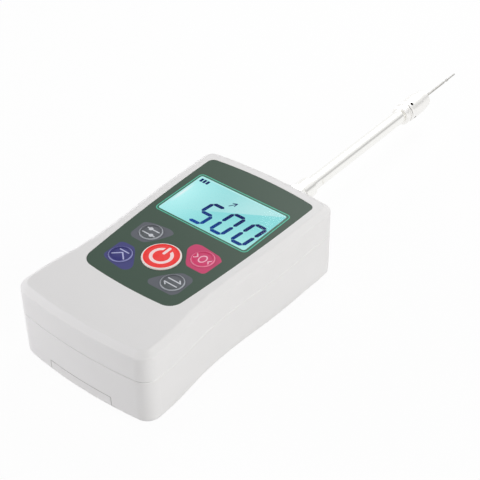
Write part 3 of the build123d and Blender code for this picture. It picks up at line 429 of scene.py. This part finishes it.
for name, (sign, ring_line, colours) in KEYS.items():
    body_colour, painted_shade_colour, ring_print_and_highlight, sign_colour = colours
    key = Finish(f"{name} key", IOR=1.48, Specular_IOR_Level=0.12)
    x, y, _ = key.axes()
    x, y = x - KEY_CENTERS[name][0], y - KEY_CENTERS[name][1]
    # painted shade on the low side of the key's body
    base = key.mix(y.ramp(2.0, -4.0), body_colour, painted_shade_colour)
    base = key.mix(key.noise(3.0, 3.0) * 0.1, base, sign_colour)
    # ring line: print on the power key, a painted highlight on the raised rim of the small keys
    base = key.mix(ring(x, y, *ring_line).inside(RING_EDGE), base, ring_print_and_highlight)
    base = key.mix(sign(x, y).inside(SIGN_EDGE), base, sign_colour)
    grain = key.noise(0.2)
    key.set(Base_Color=base, Roughness=0.3 + grain * 0.12)
    key.bump(grain, 0.01, 0.25)
    key.give(f"key_{name}")

# ------------------------------------------------ display
LIT = from_screen(142, 225, 227)
LIT_LEFT = from_screen(194, 255, 255)
# pale tint of the painted sheen on the glass and of the painted glow on the window's cut edge
PALE_PAINTED_LIGHT = from_screen(183, 237, 237)
LIT_LOW = from_screen(181, 243, 238)
INK = from_screen(0, 24, 96)
INK_LOW = from_screen(0, 72, 160)
INK_EDGE = 0.12

# the lamps shine in from the left, so the glow is a flat oval round their middle
GLOW_CENTER = (-25.5, 28.5)
GLOW_SQUEEZE = (0.85, 0.55)
GLOW_REACH = 19.0

# a painted reflection, a pale sheen, lies above a slanted line over the glass
SHEEN_Y = 29.4
SHEEN_SLOPE = 0.6

SEGMENTS = {"5": "afgcd", "0": "abcdef"}
DIGITS = (("5", -5.25), ("0", 6.8), ("0", 18.85))
DIGIT_Y = 23.85
SLANT = 0.1
HALF_WIDE = 3.2
HALF_TALL = 7.6
BAR = 1.9
BAR_GAP = 0.12
BATTERY_BARS_X = (-23.7, -21.9, -20.1)
BATTERY_BARS_Y = 41.85
BATTERY_BAR_SIZE = (0.68, 1.3, 0.15)    # half width, half height and corner
UNIT_ARROW = ((-1.2, 34.5), (1.0, 37.9))
UNIT_ARROW_BARBS = ((0.95, 35.7), (-0.9, 37.1))
UNIT_ARROW_WIDTH = 0.5


def digit_shape(x, y, figure, center):
    """Seven-segment figure of slanted bars with pointed ends."""
    rise = y - DIGIT_Y
    lean = x - center - rise * SLANT
    upright = HALF_TALL / 2 - BAR_GAP
    level = HALF_WIDE - BAR_GAP
    places = {
        "a": (0, HALF_TALL), "g": (0, 0), "d": (0, -HALF_TALL),
        "f": (-HALF_WIDE, HALF_TALL / 2), "b": (HALF_WIDE, HALF_TALL / 2),
        "e": (-HALF_WIDE, -HALF_TALL / 2), "c": (HALF_WIDE, -HALF_TALL / 2),
    }
    bars = []
    for name in SEGMENTS[figure]:
        off_x = abs(lean - places[name][0])
        off_y = abs(rise - places[name][1])
        thick, long, half = (off_y, off_x, level) if name in "agd" else (off_x, off_y, upright)
        bars.append((thick - BAR / 2).most(thick + long - half))
    return union(bars)


def display_marks(x, y):
    """Everything that the display shows in ink."""
    marks = [digit_shape(x, y, figure, center) for figure, center in DIGITS]
    for bar_x in BATTERY_BARS_X:
        marks.append(plate(x, y, (bar_x, BATTERY_BARS_Y), *BATTERY_BAR_SIZE))
    foot, tip = UNIT_ARROW
    marks.append(stroke(x, y, foot, tip, UNIT_ARROW_WIDTH))
    for barb in UNIT_ARROW_BARBS:
        marks.append(stroke(x, y, tip, barb, UNIT_ARROW_WIDTH))
    return union(marks)


glass = Finish(
    "lit display", Base_Color=(0.002, 0.004, 0.005, 1.0), Roughness=0.24, IOR=1.5,
    Specular_IOR_Level=0.05, Emission_Strength=1.0,
)
x, y, _ = glass.axes()
glow_x = (x - GLOW_CENTER[0]) * GLOW_SQUEEZE[0]
glow_y = (y - GLOW_CENTER[1]) * GLOW_SQUEEZE[1]
picture = glass.mix(length_of(glow_x, glow_y).ramp(GLOW_REACH, 0.0), LIT, LIT_LEFT)
# painted reflection: a pale sheen over the upper part of the glass
painted_sheen = (y - SHEEN_Y - x * SHEEN_SLOPE).ramp(-0.4, 0.4)
picture = glass.mix(painted_sheen * x.ramp(-20.0, 9.0), picture, PALE_PAINTED_LIGHT)
picture = glass.mix(x.ramp(-12.0, 24.0) * y.ramp(29.0, 14.0), picture, LIT_LOW)
at_lamps = x.ramp(-23.2, -25.4) * abs(y - 29.5).ramp(9.0, 2.0)
picture = glass.mix(at_lamps, picture, WHITE)
ink = glass.mix((y + x * 0.25).ramp(13.0, 29.0), INK_LOW, INK)
picture = glass.mix(display_marks(x, y).inside(INK_EDGE), picture, ink)
glass.set(Emission_Color=picture)
glass.give("lcd_glass")

# the window is clear, and a painted glow lies on its cut edge, standing in for the display's light
clear = Finish("clear window", Roughness=0.08, IOR=1.49, Emission_Strength=1.0)
x, y, _ = clear.axes()
pane = plate(x, y, (0.0, DISPLAY_Y), OPENING_HALF_X, OPENING_HALF_Y, OPENING_CORNER)
painted_edge_glow = pane.ramp(-0.04, -0.02)
clear.set(
    Base_Color=clear.mix(painted_edge_glow, (0.01, 0.02, 0.02, 1.0), (0.0, 0.01, 0.01, 1.0)),
    Emission_Color=clear.mix(painted_edge_glow, BLACK, PALE_PAINTED_LIGHT),
    Alpha=painted_edge_glow * 0.95 + 0.05,
)
clear.give("display_window")

# ------------------------------------------------ steel
BRIGHT = (0.95, 0.945, 0.92, 1.0)
CHUCK_STEEL = (0.93, 0.92, 0.90, 1.0)
NEEDLE_STEEL = (0.52, 0.51, 0.49, 1.0)
HOLE_PAINTED_SHADE = (0.08, 0.08, 0.08, 1.0)
TOOL_RINGS = (0.35, 14.0, 0.35)
HOLE_HALF_WIDTH = 0.98
HOLE_OUTER_RADIUS = 5.26
HOLE_FLOOR_RADIUS = 4.2
THREAD_PITCH = 1.0
STUD_RADIUS = 3.1


class Steel(Finish):
    """Bright turned steel with fine rings left by the tool."""

    def __init__(self, name, colour, roughness):
        super().__init__(name, Metallic=1.0)
        rings = self.noise(1.0, 3.0, self.stretched(*TOOL_RINGS))
        smear = self.noise(2.4)
        dim = (*[part * 0.86 for part in colour[:3]], 1.0)
        self.shade = self.mix(smear * 0.25, colour, dim)
        self.set(Base_Color=self.shade, Roughness=roughness + rings * 0.07 + smear * 0.04)
        self.bump(rings, 0.006, 0.5)


Steel("polished steel", BRIGHT, 0.17).give("extension_rod", "lock_nut")
Steel("ground needle", NEEDLE_STEEL, 0.24).give("probe_needle", "collet")

chuck = Steel("turned chuck", CHUCK_STEEL, 0.3)
x, y, z = chuck.axes()
from_axis = length_of(x, z - SHAFT_Z)
# painted shade inside the ring of blind holes in the chuck's nut
in_hole = from_axis.ramp(HOLE_OUTER_RADIUS + 0.1, HOLE_OUTER_RADIUS)
in_hole = in_hole * (abs(y - CHUCK_HOLES_Y) - HOLE_HALF_WIDTH).inside(0.05)
in_hole = in_hole * from_axis.ramp(HOLE_FLOOR_RADIUS, HOLE_FLOOR_RADIUS + 0.1)
chuck.set(Base_Color=chuck.mix(in_hole, chuck.shade, HOLE_PAINTED_SHADE))
chuck.give("chuck_body", "chuck_nut")

# the stud's thread is a ridge that winds round the shaft's axis
shaft = Finish("threaded shaft", Base_Color=BRIGHT, Metallic=1.0)
x, y, z = shaft.axes()
rise = z - SHAFT_Z
turn = x.math("ARCTAN2", rise) / (2 * math.pi)
ridge = abs((y / THREAD_PITCH + turn).math("FRACT") - 0.5) * 2.0
on_stud = (length_of(x, rise) - STUD_RADIUS).inside(0.05)
rings = shaft.noise(1.0, 3.0, shaft.stretched(*TOOL_RINGS))
shaft.set(Roughness=0.13 + rings * 0.08)
shaft.bump(ridge * on_stud + rings * 0.02, 0.5)
shaft.give("measuring_shaft")

plated = Finish("zinc plated screws", Metallic=1.0)
dull = plated.noise(0.9, 3.0)
plated.set(
    Base_Color=plated.mix(dull, (0.6, 0.61, 0.63, 1.0), (0.74, 0.74, 0.74, 1.0)),
    Roughness=0.26 + dull * 0.16,
)
plated.give("case_screws", "board_screws", "bracket_screws", "cell_screws")

brass = Finish("turned brass", Metallic=1.0)
tarnish = brass.noise(1.4, 3.0)
brass.set(
    Base_Color=brass.mix(tarnish, (0.80, 0.56, 0.23, 1.0), (0.62, 0.42, 0.16, 1.0)),
    Roughness=0.24 + tarnish * 0.2,
)
brass.give("stand_inserts")

spring = Finish("spring sheet", Base_Color=(0.72, 0.71, 0.67, 1.0), Metallic=1.0)
rolling = spring.noise(1.0, 3.0, spring.stretched(6.0, 0.5, 0.5))
spring.set(Roughness=0.22 + rolling * 0.18)
spring.give("battery_contacts", "key_switches", "charge_socket")

# ------------------------------------------------ inner pieces
milled = Finish("milled aluminium", Metallic=1.0)
cutter = milled.noise(1.0, 4.0, milled.stretched(0.3, 4.0, 0.3))
milled.set(
    Base_Color=milled.mix(cutter, (0.70, 0.71, 0.73, 1.0), (0.80, 0.81, 0.82, 1.0)),
    Roughness=0.28 + cutter * 0.16,
)
milled.bump(cutter, 0.01, 0.5)
milled.give("load_cell", "cell_bracket")

FOIL_LINES_PER_MM = 3.2
gauge = Finish("gauge foil", Roughness=0.35)
x, _, _ = gauge.axes()
grid = (x * FOIL_LINES_PER_MM).math("FRACT").ramp(0.45, 0.55)
gauge.set(Base_Color=gauge.mix(grid, (0.62, 0.33, 0.07, 1.0), (0.72, 0.58, 0.34, 1.0)))
gauge.give("strain_gauges")

board = Finish("circuit board", Roughness=0.36, IOR=1.5)
tracks = board.node("ShaderNodeTexBrick", {"offset": 0.5, "squash": 1.0}, {
    "Vector": board.point(), "Scale": 0.42, "Mortar Size": 0.035,
    "Color1": (0.012, 0.10, 0.045, 1.0), "Color2": (0.016, 0.12, 0.05, 1.0),
    "Mortar": (0.035, 0.21, 0.09, 1.0),
})
board.set(Base_Color=tracks)
board.give("main_board")

chip = Finish("black moulding", IOR=1.5)
chip_grain = chip.noise(0.3, 3.0)
chip.set(
    Base_Color=chip.mix(chip_grain, (0.022, 0.022, 0.024, 1.0), (0.034, 0.034, 0.037, 1.0)),
    Roughness=0.42 + chip_grain * 0.2,
)
chip.give("board_chips", "data_jack")


def moulding(name, first, second, roughness, *pieces):
    """Plain moulded piece with a slight cloud in its colour."""
    finish = Finish(name)
    drift = finish.noise(2.0, 3.0)
    colour = finish.mix(drift, (*first, 1.0), (*second, 1.0))
    finish.set(Base_Color=colour, Roughness=roughness + drift * 0.1)
    finish.give(*pieces)


moulding("white frame", (0.66, 0.66, 0.64), (0.72, 0.72, 0.70), 0.45, "lcd_frame")
moulding("light guide", (0.52, 0.86, 0.88), (0.60, 0.90, 0.92), 0.3, "backlight")
moulding("contact rubber", (0.08, 0.08, 0.085), (0.12, 0.12, 0.125), 0.7, "zebra_strip")
moulding("nylon connector", (0.72, 0.69, 0.60), (0.78, 0.75, 0.66), 0.4, "lead_connector")

WIRE_PITCH = 1.27
ribbon = Finish("grey ribbon", Roughness=0.5)
_, y, _ = ribbon.axes()
wires = abs((y / WIRE_PITCH).math("FRACT") - 0.5).ramp(0.38, 0.46)
ribbon.set(Base_Color=ribbon.mix(wires, (0.26, 0.27, 0.29, 1.0), (0.16, 0.17, 0.18, 1.0)))
ribbon.give("cell_lead")

# the two cells lie head to tail, each with a band at its positive end
cell = Finish("battery sleeve", IOR=1.5)
x, y, _ = cell.axes()
scuff = cell.noise(2.0, 4.0)
sleeve = cell.mix(scuff, (0.045, 0.05, 0.06, 1.0), (0.065, 0.07, 0.08, 1.0))
left_cell = x.ramp(0.0, -0.1)
right_cell = x.ramp(0.0, 0.1)
band = left_cell * y.ramp(-27.0, -26.8) + right_cell * y.ramp(-43.0, -43.2)
cell.set(
    Base_Color=cell.mix(band, sleeve, (0.55, 0.24, 0.07, 1.0)),
    Roughness=0.25 + scuff * 0.1,
    Metallic=band * 0.8,
)
cell.give("batteries")

# ------------------------------------------------ floor and sky
FLOOR_SIZE = 6.0
FLOOR_DROP = 0.2 * MM     # keeps the floor off the gauge's back
FLOOR_PAINT = (0.85, 0.85, 0.85, 1.0)
FLOOR_SHINE = 0.95
SKY_STRENGTH = 0.37


def backdrop_rays(graph):
    """1 for rays that see the backdrop: from the camera, off gloss and through glass."""
    camera_ray, gloss_ray, glass_ray = [
        graph.node("ShaderNodeLightPath", output=f"Is {kind} Ray")
        for kind in ("Camera", "Glossy", "Transmission")
    ]
    return camera_ray.most(gloss_ray).most(glass_ray)


bpy.ops.mesh.primitive_plane_add(size=FLOOR_SIZE, location=(0.0, 0.0, -FLOOR_DROP))
floor = bpy.context.object
floor.name = "floor"

floor_finish = bpy.data.materials.new("white floor")
white = Graph(floor_finish)
paint = white.node("ShaderNodeBsdfDiffuse", None, {"Color": FLOOR_PAINT})
shine = white.node("ShaderNodeEmission", None, {"Strength": 1.0})
share = backdrop_rays(white) * FLOOR_SHINE
white.show(white.node("ShaderNodeMixShader", None, [share, paint, shine]))
floor.data.materials.append(floor_finish)

# a darker belt above the horizon, on the right and behind, which only gloss sees
BELT_RISE = 0.36
BELT_HALF_HEIGHT = 0.26
BELT_DEPTH = 0.56

studio = bpy.data.worlds.new("studio")
bpy.context.scene.world = studio
sky = Graph(studio)
x, y, z = sky.split(sky.node("ShaderNodeTexCoord", output="Generated"))
belt = abs(z - BELT_RISE).ramp(BELT_HALF_HEIGHT, 0.0)
belt = belt * x.ramp(0.15, 0.3).most(y.ramp(-0.1, -0.25))
in_gloss = belt * sky.node("ShaderNodeLightPath", output="Is Glossy Ray")
sky.show(sky.node("ShaderNodeBackground", None, {
    "Color": 1.0 - in_gloss * BELT_DEPTH,
    "Strength": backdrop_rays(sky) * (1.0 - SKY_STRENGTH) + SKY_STRENGTH,
}), "World")

# ------------------------------------------------ lights and camera
LIGHT_TARGET = Vector((0.0, 0.0, 0.02))


def soft_light(name, place, size, power, colour):
    """Square soft box that looks at the gauge from its place."""
    lamp = bpy.data.lights.new(name, "AREA")
    lamp.size = size
    lamp.energy = power
    lamp.color = colour
    holder = bpy.data.objects.new(name, lamp)
    holder.location = place
    look = LIGHT_TARGET - Vector(place)
    holder.rotation_euler = look.to_track_quat("-Z", "Y").to_euler()
    bpy.context.scene.collection.objects.link(holder)


soft_light("key light", (1.3, 0.0, 0.68), 0.9, 11.3, (1.0, 0.995, 0.98))
soft_light("fill light", (-1.35, -0.8, 0.35), 0.9, 17.6, (0.99, 0.98, 1.0))
soft_light("back light", (-0.1, 0.36, 0.36), 0.25, 0.72, WHITE[:3])

# columns: right of the camera, up, backward and its place
CAMERA_ROWS = (
    (0.774056, -0.391039, 0.497922, 0.293834),
    (0.633047, 0.489732, -0.599512, -0.313297),
    (-0.009416, 0.779264, 0.626626, 0.385533),
    (0.0, 0.0, 0.0, 1.0),
)
SENSOR_WIDTH = 36.0
FOCAL_LENGTH = 95.28
NEAREST = 0.01
camera_data = bpy.data.cameras.new("camera")
camera_data.sensor_width = SENSOR_WIDTH
camera_data.lens = FOCAL_LENGTH
camera_data.clip_start = NEAREST
camera = bpy.data.objects.new("camera", camera_data)
bpy.context.scene.collection.objects.link(camera)
camera.matrix_world = Matrix(CAMERA_ROWS)
bpy.context.scene.camera = camera

bpy.context.scene.view_settings.view_transform = "Standard"
